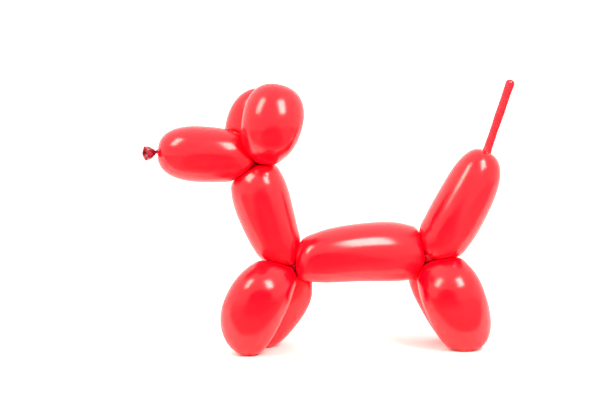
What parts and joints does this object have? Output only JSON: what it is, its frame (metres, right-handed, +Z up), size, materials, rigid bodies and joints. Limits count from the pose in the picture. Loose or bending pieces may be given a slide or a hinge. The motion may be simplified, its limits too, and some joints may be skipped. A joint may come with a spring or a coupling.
{
  "type": "balloon poodle",
  "caption": "Standing dog twisted from one long red latex modelling balloon, with a knotted nozzle at the nose and a limp tip at the tail.",
  "frame": {"origin": "on the floor, under the middle of the dog's bounding box", "axes": "+X runs from the nose to the tail, +Y is the dog's right, +Z is up"},
  "size_m": [0.3275, 0.0862, 0.24],
  "materials": {
    "latex": "glossy, thin, slightly see-through red latex that goes a deeper red where bubbles overlap"
  },
  "bodies": {
    "root": {"balloon": "latex"}
  },
  "joints": []
}
